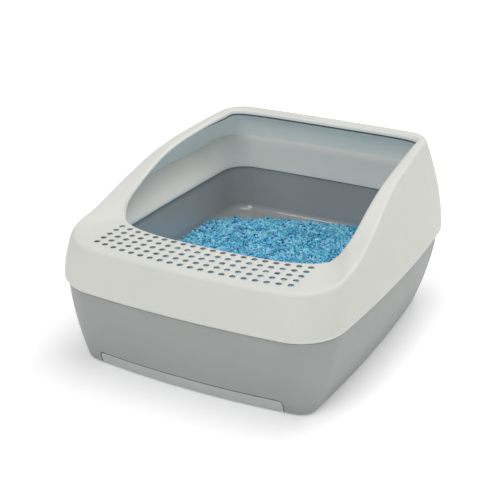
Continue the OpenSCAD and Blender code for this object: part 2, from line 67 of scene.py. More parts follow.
# The hood's opening: its half widths, and where its end curves begin
OPEN_HALF, OPEN_HALF_REAR, TAPER_POWER = 186.0, 174.0, 1.8
OPEN_F, OPEN_F_DEPTH, OPEN_F_POWER = FRONT_END + 205, 98.0, 3.1
OPEN_R, OPEN_R_DEPTH, OPEN_R_POWER = LENGTH / 2 - 90, 39.0, 5.5
# Sweeps of the crease and of the opening's edge: distance from the front, share of the rise
CREASE_SWEEP = [(20, 0), (60, 0.02), (94, 0.085), (130, 0.14), (155, 0.225), (210, 0.45), (290, 0.75),
                (350, 0.865), (525, 1)]
EDGE_SWEEP = [(138, 0), (173, 0.23), (210, 0.425), (240, 0.575), (290, 0.76), (350, 0.87), (525, 1)]
# Paw grate
HOLE, PITCH, COLS, ROWS = 9.0, 16.5, 20, 5
GRATE_FRONT, GRATE_SWEEP, SWEEP_AT, SWEEP_POWER = FRONT_END + 31, 15.5, 160.0, 2.8
# Splash guard
GUARD_WALL, GUARD_TOP, GUARD_DIP, GUARD_END = 2.5, 218.5, 3.0, FRONT_END + 120
GUARD_RISE, GUARD_RISE_FROM, GUARD_RISE_RUN = 10.0, 150.0, 95.0
# Base
BASE_WALL, BASE_SEAM, TAPER, TAPER_CURVE, RIM_H, RIM_WALL = 3.0, 6.5, 28.0, 1.55, 170.0, 2.5
FOOT_H, BASE_ROUND = 1.5, 4.0
# Litter pan, sieve and chute
PAN_WALL, PAN_FLOOR, PAN_SIDE, PAN_BOW, PAN_FRONT, PAN_BACK = 3.0, 88.0, 31.5, 4.0, 24.0, 19.0
PAN_CORNER, PAN_DRAFT, PAN_FILLET, PAN_LIP, PAN_LIP_WALL = 42.0, 0.19, 18.0, 8.0, 2.0
SIEVE_L, SIEVE_W, SIEVE_T, SIEVE_LEDGE, SIEVE_Y = 396.0, 268.0, 2.0, 5.0, -6.0
# Drawer
DRAWER_W, DRAWER_H, DRAWER_R, DRAWER_GAP, DRAWER_T = 305.5, 22.7, 6.0, 1.0, 3.0
TRAY_FLANGE, TRAY_WALL, GUIDE_WALL = 4.0, 2.0, 3.0

# ---- Finer forms, in this script only --------------------------------------------------------
# Crease and roll: a pull over 1 and a square under 1 keep them nearer their corner
CREASE_PULL, ROLL_SQUARE = 2.2, 0.7
# Lip: its soft edge, its hem, the height of the dark strip under it, which is painted shadow, and where it
# hangs deeper
LIP_SOFT, LIP_HEM, PAINTED_SHADOW_STRIP, REAR_PAINTED_SHADOW_EXTRA = 0.6, 1.0, 1.3, 1.9
REAR_LIP_FROM, REAR_LIP_RUN, REAR_LIP_EXTRA = 120.0, 70.0, 4.0
# Grate holes: how far they widen at the surface and at the wall's inner face
HOLE_FLARE, HOLE_BACK_FLARE, HOLE_SIDES = 0.5, 1.0, 32
# Soft edges: the base's rim and shoulder, the pan's flange and lip
RIM_EDGE, SHOULDER, FLANGE_EDGE, LIP_EDGE = 0.7, 2.0, 1.5, 0.7
# The drawer's cutters run through the front wall between these two stations
DRAWER_CUT = FRONT_END - 40, FRONT_END + 55
# Where the guide ribs begin, the chute's wall, and how high the chute ends over the drawer's front
GUIDE_FRONT, CHUTE_WALL, CHUTE_RISE = FRONT_END + 75, 2.0, 4.0


# ---- Outlines --------------------------------------------------------------------------------
Outline = namedtuple("Outline", "half front back front_r rear_r bow taper")


def lerp(a, b, t):
    return a + (b - a) * t


def mix(a, b, t):
    return tuple(lerp(a[k], b[k], t) for k in range(3))


def smooth(t):
    t = min(1.0, max(0.0, t))
    return t * t * (3 - 2 * t)


def steps(first, last, count):
    """Values from first to last in equal steps, both included."""
    return [lerp(first, last, j / count) for j in range(count + 1)]


def quarter(count):
    """Cosine and sine at equal steps through a quarter turn."""
    angles = [math.radians(90 * j / count) for j in range(count + 1)]
    return [(math.cos(a), math.sin(a)) for a in angles]


def bisect(low, high, is_below, halvings=26):
    """The height between low and high up to which is_below holds."""
    for _ in range(halvings):
        z = (low + high) / 2
        low, high = (z, high) if is_below(z) else (low, z)
    return (low + high) / 2


def arc_point(corner, angle, o):
    """A point on a corner's arc, before the sides and ends bow."""
    in_front = corner in (0, 3)
    r = o.front_r if in_front else o.rear_r
    a = math.radians(90 * (corner - 1) + angle)
    x = (o.half - r) * (1 if corner in (0, 1) else -1)
    y = r - o.front if in_front else o.back - r
    return x + r * math.cos(a), y + r * math.sin(a)


def shares(x, y, o):
    """A place as shares of the outline's half width and half length."""
    return x / o.half, (2 * y + o.front - o.back) / (o.front + o.back)


def bow(u, v, o):
    """How far the bowed sides and ends move a point outward in x and y."""
    return (o.bow * (1 - v * v) - o.taper * v) * u, (FRONT_BOW if v < 0 else BACK_BOW) * (1 - u * u) * v


def outline_point(col, o):
    """The outline at a station: a corner, an angle on its arc, a share of the way to the next."""
    corner, angle, share = col
    x, y = arc_point(corner, angle, o)
    if share:
        next_x, next_y = arc_point((corner + 1) % 4, 0, o)
        x, y = lerp(x, next_x, share), lerp(y, next_y, share)
    bow_x, bow_y = bow(*shares(x, y, o), o)
    return x + bow_x, y + bow_y


def columns(arc, side, end, crowd=1.35):
    """Stations round the plan from the front right corner on: so many steps to an arc, a side and
    an end. Those of the sides crowd towards the front."""
    out = []
    for c in range(4):
        out += [(c, 90 * j / arc, 0) for j in range(arc + 1)]
        n = end if c in (1, 3) else side
        for j in range(1, n):
            t = j / n
            f = t ** crowd if c == 0 else 1 - (1 - t) ** crowd if c == 2 else t
            out.append((c, 90, f))
    return out


def inset(i, rear=None):
    """The plan's outline moved in by i, and by rear at its back."""
    rear = i if rear is None else rear
    return Outline(HALF - i, FRONT - i, BACK - rear, FRONT_R - FRONT_SHRINK * i, REAR_R - REAR_SHRINK * i,
                   SIDE_BOW - BOW_SHRINK * i, SIDE_TAPER)


def inset_point(col, i, z):
    return (*outline_point(col, inset(i)), z)


# ---- Hood ------------------------------------------------------------------------------------
SKIRT_TOP = SEAM + SKIRT_TURN_H
RISE = HOOD_H - STEP
HOOD_COLUMNS = columns(arc=14, side=84, end=44)


def hood_inset(z):
    if z < SKIRT_TOP:
        return SKIRT_TURN * ((SKIRT_TOP - z) / SKIRT_TURN_H) ** SKIRT_CURVE
    return LEAN * ((z - SKIRT_TOP) / (HOOD_H - SKIRT_TOP)) ** LEAN_CURVE


def sweep_slope(knots, i):
    if i in (0, len(knots) - 1):
        return 0.0
    a = (knots[i][1] - knots[i - 1][1]) / (knots[i][0] - knots[i - 1][0])
    b = (knots[i + 1][1] - knots[i][1]) / (knots[i + 1][0] - knots[i][0])
    return 2 * a * b / (a + b)


def swept_z(knots, y):
    """The height at y of a curve through the knots that never overshoots them."""
    d = y - FRONT_END
    if d <= knots[0][0]:
        return STEP
    if d >= knots[-1][0]:
        return HOOD_H
    i = max(n for n in range(len(knots) - 1) if d >= knots[n][0])
    (start, rise), (stop, next_rise) = knots[i], knots[i + 1]
    h = stop - start
    t = (d - start) / h
    s = 1 - t
    return STEP + RISE * ((1 + 2 * t) * s * s * rise + t * s * s * h * sweep_slope(knots, i)
                          + t * t * (3 - 2 * t) * next_rise - t * t * s * h * sweep_slope(knots, i + 1))


def top_z(y):
    return swept_z(CREASE_SWEEP, y)


def hood_outline(z, wall):
    i = hood_inset(z)
    if z < SKIRT_TOP:
        return inset(i + wall)
    o = inset(i + wall, REAR_SHARE * i + wall)
    return o._replace(front_r=FRONT_R + CORNER_GROWTH * i - FRONT_SHRINK * wall)


def hood_point(col, z, wall):
    return (*outline_point(col, hood_outline(z, wall)), z)


def crease_z(col, wall):
    """The height at which the wall meets the top."""
    return bisect(SEAM, HOOD_H, lambda z: top_z(hood_point(col, z, wall)[1]) - wall > z)


def end_point(p, station, reach, half, depth, power):
    """The point of the opening's end curve, a superellipse about its station, in p's direction."""
    u, v = p[0] / reach[0], (p[1] - station) / reach[1]
    s = (abs(u) ** power + abs(v) ** power) ** (-1 / power)
    return u * s * half, station + v * s * depth


STEP_OUTLINE, RIM_OUTLINE = hood_outline(STEP, 0), hood_outline(HOOD_H, 0)


def opening_point(p):
    """The opening's edge in plan, across the top from a point of the crease."""
    if p[1] < OPEN_F:
        reach = STEP_OUTLINE.half, OPEN_F + STEP_OUTLINE.front + FRONT_BOW
        return end_point(p, OPEN_F, reach, OPEN_HALF, OPEN_F_DEPTH, OPEN_F_POWER)
    if p[1] > OPEN_R:
        reach = RIM_OUTLINE.half, RIM_OUTLINE.back + BACK_BOW - OPEN_R
        return end_point(p, OPEN_R, reach, OPEN_HALF_REAR, OPEN_R_DEPTH, OPEN_R_POWER)
    t = ((p[1] - OPEN_F) / (OPEN_R - OPEN_F)) ** TAPER_POWER
    return math.copysign(lerp(OPEN_HALF, OPEN_HALF_REAR, t), p[0]), p[1]


def crease_round(z):
    return lerp(STEP_ROUND, RIM_ROUND, math.sqrt(max(0, z - STEP) / RISE))


def bend(a, b, c, t, pull=1.0):
    """A curve from a to c. A larger pull draws it nearer the corner b."""
    u, v, w = (1 - t) ** 2, 2 * t * (1 - t) * pull, t * t
    return tuple((u * a[k] + v * b[k] + w * c[k]) / (u + v + w) for k in range(3))


def hood_section(col):
    """The hood's closed section in four parts: outer skin, lip, the hem under the lip in dark grey painted
    shadow, inside.
    """
    crease_top = crease_z(col, 0)
    crease = hood_point(col, crease_top, 0)
    end = opening_point(crease)
    edge = (*end, swept_z(EDGE_SWEEP, end[1]))
    width = math.hypot(crease[0] - end[0], crease[1] - end[1])
    r = min(crease_round(crease_top), width - ROLL_W)
    wall_top = crease_top - r
    foot = SEAM + SEAT
    rear = smooth((end[1] - REAR_LIP_FROM) / REAR_LIP_RUN)
    drop = LIP_DROP + REAR_LIP_EXTRA * rear
    roll = drop - (PAINTED_SHADOW_STRIP + REAR_PAINTED_SHADOW_EXTRA * rear) - LIP_SOFT

    def on_top(into, down):
        """A point of the top, so far in from the crease and so far down."""
        x, y, z = mix(crease, edge, into / width)
        return x, y, z - down

    def roll_point(degrees):
        a = math.radians(degrees)
        return on_top(width - ROLL_W * (1 - math.sin(a) ** ROLL_SQUARE),
                      roll * (1 - max(0, math.cos(a)) ** ROLL_SQUARE))

    skin = [hood_point(col, foot + t * SKIRT_TURN_H, 0) for t in (0.02, 0.15, 0.3, 0.45, 0.6, 0.75, 0.9)]
    skin += [hood_point(col, z, 0) for z in steps(SKIRT_TOP, wall_top, 16)]
    a, c = hood_point(col, wall_top, 0), on_top(r, 0)
    skin += [bend(a, crease, c, t / 12, CREASE_PULL) for t in range(1, 13)]
    skin += [on_top(r + (width - ROLL_W - r) * t, 0) for t in (0.2, 0.4, 0.6, 0.8)]
    skin += [roll_point(degrees) for degrees in (0, 8, 16, 26, 38)]
    lip = [roll_point(degrees) for degrees in (50, 62, 72, 82, 90)]
    lip += [on_top(width, roll + 0.7 * LIP_SOFT), on_top(width - 0.3 * LIP_SOFT, roll + LIP_SOFT)]
    # The hem's face under the lip takes a dark grey: a painted shadow line, not a gap in the hood.
    gap = [on_top(width - LIP_HEM, roll + LIP_SOFT), on_top(width - LIP_HEM, drop - LIP_SOFT / 2)]
    inside = [on_top(width - LIP_HEM - LIP_SOFT / 2, drop), on_top(width - HOOD_WALL + LIP_SOFT / 2, drop),
              on_top(width - HOOD_WALL, drop - LIP_SOFT / 2),
              on_top(width - HOOD_WALL, ROLL_D + HOOD_WALL / 2), on_top(width - ROLL_W, HOOD_WALL)]
    a, c = on_top(r, HOOD_WALL), hood_point(col, wall_top, HOOD_WALL)
    b = hood_point(col, crease_z(col, HOOD_WALL), HOOD_WALL)
    inside += [bend(a, b, c, t / 6) for t in range(1, 6)]
    inside += [hood_point(col, z, HOOD_WALL) for z in steps(wall_top, SKIRT_TOP, 16)]
    inside += [inset_point(col, SKIRT_TURN + SKIRT_FOOT, z) for z in (foot + 1, foot)]
    return skin, lip, gap, inside


# ---- Base ------------------------------------------------------------------------------------
PAN_FLANGE = RIM_H + SEAT
PAN_TOP = PAN_FLANGE + PAN_WALL
PAN_HANG = max(hood_inset(PAN_TOP) + HOOD_WALL, SKIRT_TURN + SKIRT_FOOT) + LIFT
RIM_OUT = PAN_HANG + PAN_LIP_WALL + LIP_GAP
RIM_IN = RIM_OUT + RIM_WALL
FLOOR_TOP = FOOT_H + BASE_WALL
ROUND_TOP = FOOT_H + BASE_ROUND
BASE_COLUMNS = columns(arc=12, side=40, end=40)


def base_inset(z):
    return BASE_SEAM + TAPER * max(0, 1 - z / SEAM) ** TAPER_CURVE


def base_point(col, z, wall):
    return inset_point(col, base_inset(z) + wall, z)


# The height at which the rim's inner face meets the leaning wall's
RIM_MEETS = bisect(0.0, SEAM, lambda z: base_inset(z) + BASE_WALL > RIM_IN)
RIM_BLEND = 8.0


def foot_curve(col):
    """The rounded edge between the base's underside and its wall."""
    pts = []
    for c, s in quarter(6):
        z = FOOT_H + BASE_ROUND * (1 - c)
        pts.append(inset_point(col, base_inset(z) + BASE_ROUND * (1 - s), z))
    return pts


def base_section(col):
    pts = foot_curve(col)
    pts += [base_point(col, z, 0) for z in steps(ROUND_TOP, SEAM - SHOULDER, 24)[1:]]
    pts += [inset_point(col, BASE_SEAM + SHOULDER * (1 - c), SEAM - SHOULDER * (1 - s))
            for c, s in quarter(4)[1:]]
    pts += [inset_point(col, RIM_OUT, SEAM), inset_point(col, RIM_OUT, RIM_H - RIM_EDGE),
            inset_point(col, RIM_OUT + RIM_EDGE, RIM_H), inset_point(col, RIM_IN - RIM_EDGE, RIM_H),
            inset_point(col, RIM_IN, RIM_H - RIM_EDGE), inset_point(col, RIM_IN, RIM_MEETS)]
    low = FLOOR_TOP + BASE_ROUND
    pts += [base_point(col, z, BASE_WALL) for z in steps(RIM_MEETS - RIM_BLEND, low, 12)]
    for c, s in quarter(5)[1:]:
        z = low - BASE_ROUND * s
        pts.append(inset_point(col, base_inset(z) + BASE_WALL + BASE_ROUND * (1 - c), z))
    return pts


def front_band_section(col):
    """The foot of the base's wall as a closed section, from which the drawer's front is cut."""
    top = DRAWER_H + 10
    pts = foot_curve(col)
    pts += [base_point(col, z, 0) for z in steps(ROUND_TOP, top, 8)[1:]]
    pts += [base_point(col, z, DRAWER_T) for z in steps(top, ROUND_TOP, 8)]
    pts += [inset_point(col, base_inset(FOOT_H) + DRAWER_T + 0.3 * BASE_ROUND, FOOT_H)]
    return pts


# ---- Pan -------------------------------------------------------------------------------------
PAN_UNDER = PAN_FLOOR - 2 * SIEVE_T
PAN_FRONT_CORNER_EXTRA, PAN_CORNER_SHRINK = 8.0, 0.5


def pan_outline(z, wall):
    i = PAN_DRAFT * (PAN_TOP - z) - wall
    return Outline(HALF - PAN_SIDE - i, FRONT - PAN_FRONT - i, BACK - PAN_BACK - i,
                   PAN_CORNER + PAN_FRONT_CORNER_EXTRA - i * PAN_CORNER_SHRINK,
                   PAN_CORNER - i * PAN_CORNER_SHRINK, PAN_BOW, 0)


def pan_point(col, z, wall):
    return (*outline_point(col, pan_outline(z, wall)), z)


def fillet_point(col, degrees, r, bottom, wall):
    """A point of the rounded edge of the pan's floor: 0 degrees is on the wall, 90 on the floor."""
    a = math.radians(degrees)
    z = bottom + r * (1 - math.sin(a))
    return (*outline_point(col, pan_outline(bottom + r, wall - r * (1 - math.cos(a)))), z)


def pan_section(col):
    outer_r, hang, lip_foot = PAN_FILLET + PAN_WALL, PAN_HANG + PAN_LIP_WALL, PAN_TOP - PAN_LIP
    pts = [fillet_point(col, a, outer_r, PAN_UNDER, PAN_WALL) for a in range(90, -1, -9)]
    pts += [pan_point(col, z, PAN_WALL) for z in steps(PAN_UNDER + outer_r, PAN_FLANGE, 8)[1:]]
    pts += [inset_point(col, hang, PAN_FLANGE), inset_point(col, hang, lip_foot + LIP_EDGE),
            inset_point(col, hang - LIP_EDGE, lip_foot), inset_point(col, PAN_HANG + LIP_EDGE, lip_foot),
            inset_point(col, PAN_HANG, lip_foot + LIP_EDGE)]
    pts += [inset_point(col, PAN_HANG + FLANGE_EDGE * (1 - c), PAN_TOP - FLANGE_EDGE * (1 - s))
            for c, s in quarter(4)]
    pts += [pan_point(col, PAN_TOP - FLANGE_EDGE * (1 - c), FLANGE_EDGE * (1 - s)) for c, s in quarter(4)]
    pts += [pan_point(col, z, 0) for z in steps(PAN_TOP - FLANGE_EDGE, PAN_FLOOR + PAN_FILLET, 10)[1:-1]]
    pts += [fillet_point(col, a, PAN_FILLET, PAN_FLOOR, 0) for a in range(0, 91, 9)]
    return pts


# ---- Guard -----------------------------------------------------------------------------------
GUARD_FOOT, GUARD_KNEE = PAN_TOP - GUARD_DIP, PAN_TOP + LIFT


def guard_foot(col, wall, z=GUARD_FOOT):
    return (*outline_point(col, pan_outline(GUARD_FOOT, wall - GUARD_WALL - LIFT)), z)


def guard_reach(y):
    """The height of the guard's top edge, which stays under the hood's rounded crease."""
    top = GUARD_TOP + GUARD_RISE * smooth((y - GUARD_RISE_FROM) / GUARD_RISE_RUN)
    return min(top, top_z(y) - crease_round(top_z(y)) - SEAT)


def guard_section(col):
    z = guard_reach(hood_point(col, STEP, HOOD_WALL)[1])
    head = hood_point(col, z, HOOD_WALL + SEAT + GUARD_WALL)
    skin = hood_point(col, z, HOOD_WALL + SEAT / 4)
    inner, outer = guard_foot(col, 0), guard_foot(col, GUARD_WALL)
    knee_in, knee_out = guard_foot(col, 0, GUARD_KNEE), guard_foot(col, GUARD_WALL, GUARD_KNEE)
    back = [mix(inner, outer, 0.7), mix(outer, knee_out, 0.15), mix(outer, knee_out, 0.8)]
    back += [mix(knee_out, skin, t) for t in (0.03, 0.25, 0.5, 0.75, 1)]
    face = [mix(head, skin, 0.85), mix(head, knee_in, 5 / (z - PAN_TOP - LIFT))]
    face += [mix(head, knee_in, t) for t in (0.25, 0.5, 0.75, 0.97)]
    return back + face + [mix(knee_in, inner, 0.2), mix(inner, knee_in, 0.15), mix(inner, outer, 0.3)]


# ---- Mesh helpers ----------------------------------------------------------------------------
WELD = 1e-6


def new_object(name, verts, faces, tidy=True):
    """A mesh object from points in millimetres."""
    mesh = bpy.data.meshes.new(name)
    mesh.from_pydata([(x / 1000, y / 1000, z / 1000) for x, y, z in verts], [], faces)
    if tidy:
        tidy_mesh(mesh)
    obj = bpy.data.objects.new(name, mesh)
    bpy.context.scene.collection.objects.link(obj)
    return obj


def tidy_mesh(mesh):
    """Welds doubled points, turns the faces outward and drops points without a face."""
    bm = bmesh.new()
    bm.from_mesh(mesh)
    bmesh.ops.remove_doubles(bm, verts=bm.verts, dist=WELD)
    bmesh.ops.recalc_face_normals(bm, faces=bm.faces)
    bmesh.ops.delete(bm, geom=[v for v in bm.verts if not v.link_faces], context="VERTS")
    bm.to_mesh(mesh)
    bm.free()


def pairs_round(ring):
    """Each item of a ring with the next, and the last with the first."""
    return list(zip(ring, ring[1:] + ring[:1]))


def skin_faces(sections, closed_run, closed_section):
    """Quads between neighbouring sections, section by section."""
    n, m = len(sections), len(sections[0])
    runs, rows = n if closed_run else n - 1, m if closed_section else m - 1
    return [(k * m + j, k * m + (j + 1) % m, (k + 1) % n * m + (j + 1) % m, (k + 1) % n * m + j)
            for k in range(runs) for j in range(rows)]


def loft(name, sections, closed):
    """A skin round the plan. Sections that aren't closed get a flat face at either end."""
    n, m = len(sections), len(sections[0])
    faces = skin_faces(sections, True, closed)
    if not closed:
        faces += [tuple(k * m for k in range(n)), tuple(k * m + m - 1 for k in reversed(range(n)))]
    return new_object(name, sum(sections, []), faces)


def swept_bar(name, sections):
    """A bar through closed sections. Its ends are filled with quads from side to side."""
    n, m = len(sections), len(sections[0])
    faces = skin_faces(sections, False, True)
    for start, flip in ((0, True), ((n - 1) * m, False)):
        j, i = 0, m - 1
        while i - j > 1:
            quad = [start + j, start + j + 1, start + i - 1, start + i]
            quad = quad if len(set(quad)) == 4 else [start + j, start + j + 1, start + i]
            faces.append(tuple(reversed(quad)) if flip else tuple(quad))
            j, i = j + 1, i - 1
    return new_object(name, sum(sections, []), faces)


def prism(name, outline, low, high, axis="Z"):
    """An outline pushed along an axis. For Y, the outline is in X and Z."""
    n = len(outline)
    verts = [(u, v, h) if axis == "Z" else (u, h, v) for h in (low, high) for u, v in outline]
    faces = [(k, (k + 1) % n, n + (k + 1) % n, n + k) for k in range(n)]
    faces += [tuple(reversed(range(n))), tuple(range(n, 2 * n))]
    return new_object(name, verts, faces)


def apply_modifiers(obj):
    bpy.context.view_layer.update()
    deps = bpy.context.evaluated_depsgraph_get()
    mesh = bpy.data.meshes.new_from_object(obj.evaluated_get(deps))
    obj.modifiers.clear()
    obj.data = mesh


def boolean(obj, tool, operation):
    mod = obj.modifiers.new("cut", "BOOLEAN")
    mod.operation, mod.solver, mod.object = operation, "EXACT", tool
    apply_modifiers(obj)
    bpy.data.objects.remove(tool)


def bevel(obj, width):
    mod = obj.modifiers.new("edge", "BEVEL")
    mod.width, mod.segments = width / 1000, 2
    mod.limit_method, mod.angle_limit = "ANGLE", math.radians(40)
    apply_modifiers(obj)


# ---- Materials -------------------------------------------------------------------------------
def rgb(r, g, b):
    """An sRGB colour, 0 to 255, as Blender's linear one."""
    lin = [c / 255 / 12.92 if c <= 10 else ((c / 255 + 0.055) / 1.055) ** 2.4 for c in (r, g, b)]
    return (*lin, 1.0)


def shift(colour, k):
    return (*[min(1.0, c * k) for c in colour[:3]], 1.0)


def set_inputs(node, values):
    for name, value in values.items():
        node.inputs[name].default_value = value


class Graph:
    """A small builder for a material's nodes."""

    def __init__(self, name):
        self.material = bpy.data.materials.new(name)
        self.material.use_nodes = True
        self.tree = self.material.node_tree
        self.shader = self.tree.nodes["Principled BSDF"]
        self.where = self.add("ShaderNodeTexCoord").outputs["Object"]

    def add(self, kind, **values):
        node = self.tree.nodes.new(kind)
        for key, value in values.items():
            setattr(node, key, value)
        return node

    def link(self, source, target):
        self.tree.links.new(source, target)

    def feed(self, name, source):
        """Links a socket to an input of the shader."""
        self.link(source, self.shader.inputs[name])

    def noise(self, scale, detail=3.0, roughness=0.5):
        node = self.add("ShaderNodeTexNoise")
        set_inputs(node, {"Scale": scale, "Detail": detail, "Roughness": roughness})
        self.link(self.where, node.inputs["Vector"])
        return node.outputs["Fac"]

    def ramp(self, fac, stops):
        node = self.add("ShaderNodeValToRGB")
        while len(node.color_ramp.elements) < len(stops):
            node.color_ramp.elements.new(0.5)
        for element, (pos, colour) in zip(node.color_ramp.elements, stops):
            element.position, element.color = pos, colour
        self.link(fac, node.inputs["Fac"])
        return node.outputs["Color"]

    def span(self, value, low, high, start=0.0, end=1.0):
        """Maps start and end to low and high."""
        node = self.add("ShaderNodeMapRange")
        set_inputs(node, {"From Min": start, "From Max": end, "To Min": low, "To Max": high})
        self.link(value, node.inputs["Value"])
        return node.outputs["Result"]

    def bump(self, height, strength, distance, under=None):
        node = self.add("ShaderNodeBump")
        set_inputs(node, {"Strength": strength, "Distance": distance})
        self.link(height, node.inputs["Height"])
        if under is not None:
            self.link(under, node.inputs["Normal"])
        self.feed("Normal", node.outputs["Normal"])
        return node.outputs["Normal"]


def plastic(name, colour, roughness, grain=1400.0, grain_depth=0.10, drift=0.02, specular=0.45, coat=0.0,
            rough_drift=0.06):
    """Moulded plastic: a faint cloudiness in the colour, uneven gloss and a fine spark-eroded grain."""
    g = Graph(name)
    cloud = g.noise(14.0, detail=4.0, roughness=0.6)
    g.feed("Base Color", g.ramp(cloud, [(0.3, shift(colour, 1 - drift)), (0.7, shift(colour, 1 + drift))]))
    g.feed("Roughness", g.span(g.noise(38.0), roughness - rough_drift, roughness + rough_drift))
    set_inputs(g.shader, {"Specular IOR Level": specular, "Coat Weight": coat, "Coat Roughness": 0.06})
    wave = g.bump(g.noise(9.0, detail=2.0), strength=0.12, distance=0.002)
    g.bump(g.noise(grain, detail=2.0), grain_depth, 0.0003, wave)
    return g.material


def milky(material, weight, depth):
    """Lets some light through a thin moulded wall."""
    shader = material.node_tree.nodes["Principled BSDF"]
    set_inputs(shader, {"Subsurface Weight": weight, "Subsurface Radius": (1.0, 1.0, 1.0),
                        "Subsurface Scale": depth})
    return material


def grain_material(name):
    """Glassy crystals, each in the colour stored at its points."""
    g = Graph(name)
    g.feed("Base Color", g.add("ShaderNodeVertexColor", layer_name="tint").outputs["Color"])
    g.feed("Roughness", g.span(g.noise(220.0, detail=2.0), 0.18, 0.5))
    set_inputs(g.shader, {"Specular IOR Level": 0.5})
    g.bump(g.noise(900.0, detail=2.0), strength=0.25, distance=0.0006)
    set_inputs(g.shader, {"Subsurface Weight": 0.6, "Subsurface Radius": (0.5, 0.8, 1.0),
                          "Subsurface Scale": 0.002})
    return g.material


def fabric_material(name):
    """Nonwoven fabric: dull, with soft lumps and fine fibres."""
    g = Graph(name)
    lumps = g.noise(60.0, detail=4.0)
    g.feed("Base Color", g.ramp(lumps, [(0.35, rgb(226, 227, 222)), (0.65, rgb(240, 240, 236))]))
    set_inputs(g.shader, {"Roughness": 0.9, "Sheen Weight": 0.25})
    soft = g.bump(g.noise(180.0), strength=0.35, distance=0.001)
    g.bump(g.noise(1500.0, detail=2.0), 0.3, 0.0004, soft)
    return g.material


white = plastic("hood_plastic", rgb(212, 212, 206), 0.5)
# Dark grey for the hem under the lip: a painted shadow line.
painted_shadow_grey = plastic("rim_painted_shadow", rgb(100, 102, 104), 0.6)
# The hood's own plastic painted lighter on the lip of the rim: painted light.
painted_light_rim_white = plastic("rim_plastic_painted_light", rgb(245, 244, 238), 0.5)
# The hood's own plastic painted lighter and warmer on its inside faces, as painted light. It also lets some
# light through its wall.
inside_white_painted_light = milky(plastic("hood_plastic_inside_painted_light", rgb(250, 248, 241), 0.5), weight=0.6, depth=0.0035)
# The hood's white plastic painted lighter and warmer on the splash guard: painted light inside the hood.
guard_white_painted_light = plastic("guard_plastic_painted_light", rgb(241, 238, 230), 0.46)
grey = plastic("base_plastic", rgb(155, 157, 156), 0.48, drift=0.025)
pan_grey = plastic("pan_plastic", rgb(160, 161, 161), 0.26, grain_depth=0.04, specular=0.55, coat=0.8,
                   rough_drift=0.02)
sieve_grey = plastic("sieve_plastic", rgb(110, 116, 121), 0.34, grain_depth=0.08)
# The base's grey painted lighter on the drawer's front: painted light for the bounce from the floor.
drawer_grey_painted_light = plastic("drawer_plastic_painted_light", rgb(180, 183, 182), 0.46, drift=0.025)
tray_grey = plastic("tray_plastic", rgb(156, 158, 159), 0.42)
rubber = plastic("foot_rubber_matte", rgb(70, 70, 72), 0.75, grain=700.0, grain_depth=0.3, specular=0.3)
crystals = grain_material("litter_crystal")
pad_fabric = fabric_material("pad_nonwoven")


def piece(obj, material, body, slot, *nodes, angle=38):
    """Finishes a visible piece. Edges sharper than angle stay sharp."""
    obj.data.shade_smooth()
    obj.data.set_sharp_from_angle(angle=math.radians(angle))
    if not obj.data.materials:
        obj.data.materials.append(material)
    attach(obj, body)
    if nodes:
        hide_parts(*nodes)
    return obj


# ---- Hood shell ------------------------------------------------------------------------------
def grate_cutter(shell):
    """All the holes as one object: shafts whose flared mouths follow the step's surface."""
    surface = BVHTree.FromObject(shell, bpy.context.evaluated_depsgraph_get())

    def height(x, y):
        hit = surface.ray_cast(Vector((x / 1000, y / 1000, 1)), Vector((0, 0, -1)))[0]
        return hit.z * 1000 if hit else STEP

    # Radius over the shaft's, and height over the surface
    profile = [(HOLE_BACK_FLARE + 0.6, -HOOD_WALL - 2), (HOLE_BACK_FLARE, -HOOD_WALL), (0, -1.0), (0, -0.5),
               (0.3 * HOLE_FLARE, -0.15), (HOLE_FLARE, 0.05), (HOLE_FLARE, 3)]
    verts, faces, sides = [], [], HOLE_SIDES
    for i in range(COLS):
        for j in range(ROWS):
            x = (i - (COLS - 1) / 2) * PITCH
            y = GRATE_FRONT + j * PITCH + GRATE_SWEEP * (abs(x) / SWEEP_AT) ** SWEEP_POWER
            base = len(verts)
            for flare, lift in profile:
                for k in range(sides):
                    a = 2 * math.pi * k / sides
                    px, py = x + (HOLE / 2 + flare) * math.cos(a), y + (HOLE / 2 + flare) * math.sin(a)
                    verts.append((px, py, height(px, py) + lift))
            for low in range(base, base + (len(profile) - 1) * sides, sides):
                faces += [(low + a, low + b, low + sides + b, low + sides + a)
                          for a, b in pairs_round(list(range(sides)))]
            top = base + (len(profile) - 1) * sides
            faces += [tuple(base + k for k in reversed(range(sides))), tuple(top + k for k in range(sides))]
    return new_object("grate_cutter", verts, faces)


hood_sections = [hood_section(col) for col in HOOD_COLUMNS]
hood = loft("hood_shell", [sum(parts, []) for parts in hood_sections], closed=True)
part_of_row = [number for number, part in enumerate(hood_sections[0]) for _ in part]
# Outer skin in the hood's white, lip in a lighter copy of it (painted light), hem in dark grey (painted
# shadow), inside in a lighter, warmer copy (painted light).
for material in (white, painted_light_rim_white, painted_shadow_grey, inside_white_painted_light):
    hood.data.materials.append(material)
for face in hood.data.polygons:
    face.material_index = part_of_row[face.index % len(part_of_row)]
boolean(hood, grate_cutter(hood), "DIFFERENCE")
piece(hood, white, "hood", "hood_white", "hood")

# ---- Splash guard ----------------------------------------------------------------------------
guard_columns = [col for col in HOOD_COLUMNS if guard_foot(col, 0)[1] > GUARD_END]
guard = swept_bar("guard_panel", [guard_section(col) for col in guard_columns])
piece(guard, guard_white_painted_light, "hood", "hood_white", "splash_guard")

# ---- Litter pan ------------------------------------------------------------------------------
pan = loft("pan_shell", [pan_section(col) for col in columns(arc=12, side=40, end=32)], closed=False)


def sieve_rectangle(gap):
    w, l = SIEVE_W / 2 - gap, SIEVE_L / 2 - gap
    return [(-w, SIEVE_Y - l), (w, SIEVE_Y - l), (w, SIEVE_Y + l), (-w, SIEVE_Y + l)]


